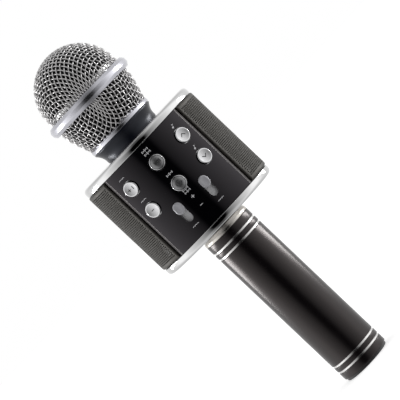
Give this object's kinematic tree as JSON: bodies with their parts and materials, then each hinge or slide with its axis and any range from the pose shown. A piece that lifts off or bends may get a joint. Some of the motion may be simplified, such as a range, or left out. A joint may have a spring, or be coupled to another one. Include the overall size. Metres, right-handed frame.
{
  "type": "karaoke microphone",
  "caption": "Hand-held karaoke microphone: woven wire grille head, oval speaker box with buttons and sliders, and a round black handle.",
  "frame": {"origin": "centre of the underside of the end cap, where the microphone stands on its handle", "axes": "+Z along the handle towards the grille, -Y out of the face with the buttons, +X to the right seen from that face"},
  "size_m": [0.085, 0.068, 0.255],
  "materials": {
    "handle_black": "satin black paint",
    "cap_black": "fine textured black",
    "ferrule_metal": "warm bright plating",
    "plate_chrome": "bright plating",
    "panel_black": "gloss black",
    "frame_black": "plain moulded",
    "cover_metal": "perforated, dark grey paint",
    "button_silver": "silver lacquer",
    "slider_silver": "silver grey lacquer",
    "shutter_silver": "silver grey",
    "board_green": "solder mask",
    "switch_black": "moulded",
    "socket_steel": "bright tin plate",
    "jack_black": "moulded",
    "lamp_clear": "frosted light pipe",
    "speaker_steel": "black",
    "magnet_steel": "zinc plated",
    "cone_paper": "pressed paper, black",
    "baffle_board": "moulded",
    "screw_steel": "zinc plated",
    "cell_wrap": "shrink wrap",
    "sleeve_grey": "moulded",
    "contact_brass": "bright",
    "spring_steel": "nickel plated",
    "neck_gloss": "gloss blue-black",
    "grille_wire": "satin nickel plate",
    "band_chrome": "bright plating",
    "lining_foam": "open-cell foam",
    "holder_black": "moulded",
    "cushion_rubber": "soft",
    "capsule_metal": "satin"
  },
  "bodies": {
    "case": {"handle_tube": "handle_black", "ferrule": "ferrule_metal", "battery_sleeve": "sleeve_grey", "battery_contact": "contact_brass", "bottom_plate": "plate_chrome", "top_plate": "plate_chrome", "plate_screws": "screw_steel", "inner_frame": "frame_black", "right_speaker_cover": "cover_metal", "left_speaker_cover": "cover_metal", "front_panel": "panel_black", "rear_panel": "panel_black", "main_board": "board_green", "right_key_board": "board_green", "left_key_board": "board_green", "port_board": "board_green", "key_switches": "switch_black", "right_fader": "socket_steel", "left_fader": "socket_steel", "usb_socket": "socket_steel", "charging_socket": "socket_steel", "memory_card_slot": "socket_steel", "headphone_jack": "jack_black", "indicator_lamp": "lamp_clear", "power_switch": "switch_black", "right_speaker_frame": "speaker_steel", "left_speaker_frame": "speaker_steel", "right_speaker_magnet": "magnet_steel", "left_speaker_magnet": "magnet_steel", "right_speaker_cone": "cone_paper", "left_speaker_cone": "cone_paper", "right_speaker_baffle": "baffle_board", "left_speaker_baffle": "baffle_board", "neck_collar": "neck_gloss", "capsule_holder": "holder_black", "capsule_cushion": "cushion_rubber", "microphone_capsule": "capsule_metal"},
    "head": {"grille_base_ring": "band_chrome", "grille_basket": "grille_wire", "grille_band": "band_chrome", "grille_hoop": "band_chrome", "grille_dome": "grille_wire", "foam_lining": "lining_foam"},
    "echo_up_button": {"echo_up_button": "button_silver"},
    "echo_down_button": {"echo_down_button": "button_silver"},
    "play_button": {"play_button": "button_silver"},
    "mode_button": {"mode_button": "button_silver"},
    "next_button": {"next_button": "button_silver"},
    "previous_button": {"previous_button": "button_silver"},
    "left_slider": {"left_slider_knob": "slider_silver", "left_slider_shutter": "shutter_silver"},
    "right_slider": {"right_slider_knob": "slider_silver", "right_slider_shutter": "shutter_silver"},
    "power_knob": {"power_switch_knob": "slider_silver"},
    "cap": {"end_cap": "cap_black", "battery_spring": "spring_steel"},
    "cell": {"battery_cell": "cell_wrap"}
  },
  "joints": [
    {"name": "echo_up_button_press", "type": "slide", "parent": "case", "child": "echo_up_button", "axis": [0.4618, 0.887, 0], "range_m": [0, 0.0007], "stiffness_N_per_m": 400},
    {"name": "echo_down_button_press", "type": "slide", "parent": "case", "child": "echo_down_button", "axis": [0.4618, 0.887, 0], "range_m": [0, 0.0007], "stiffness_N_per_m": 400},
    {"name": "play_button_press", "type": "slide", "parent": "case", "child": "play_button", "axis": [0, 1, 0], "range_m": [0, 0.0007], "stiffness_N_per_m": 400},
    {"name": "mode_button_press", "type": "slide", "parent": "case", "child": "mode_button", "axis": [0, 1, 0], "range_m": [0, 0.0007], "stiffness_N_per_m": 400},
    {"name": "next_button_press", "type": "slide", "parent": "case", "child": "next_button", "axis": [-0.4618, 0.887, 0], "range_m": [0, 0.0007], "stiffness_N_per_m": 400},
    {"name": "previous_button_press", "type": "slide", "parent": "case", "child": "previous_button", "axis": [-0.4618, 0.887, 0], "range_m": [0, 0.0007], "stiffness_N_per_m": 400},
    {"name": "left_slider_travel", "type": "slide", "parent": "case", "child": "left_slider", "axis": [0, 0, 1], "range_m": [-0.0064, 0]},
    {"name": "right_slider_travel", "type": "slide", "parent": "case", "child": "right_slider", "axis": [0, 0, 1], "range_m": [-0.0064, 0]},
    {"name": "power_switch_travel", "type": "slide", "parent": "case", "child": "power_knob", "axis": [1, 0, 0], "range_m": [0, 0.0025]},
    {"name": "head_lift", "type": "slide", "parent": "case", "child": "head", "axis": [0, 0, 1], "range_m": [0, 0.05]},
    {"name": "cap_removal", "type": "slide", "parent": "case", "child": "cap", "axis": [0, 0, -1], "range_m": [0, 0.1]},
    {"name": "cell_removal", "type": "slide", "parent": "case", "child": "cell", "axis": [0, 0, -1], "range_m": [0, 0.08]}
  ],
  "couplings": [
    {"joint": "cell_removal", "follows": "cap_removal", "ratio": 0.8}
  ]
}
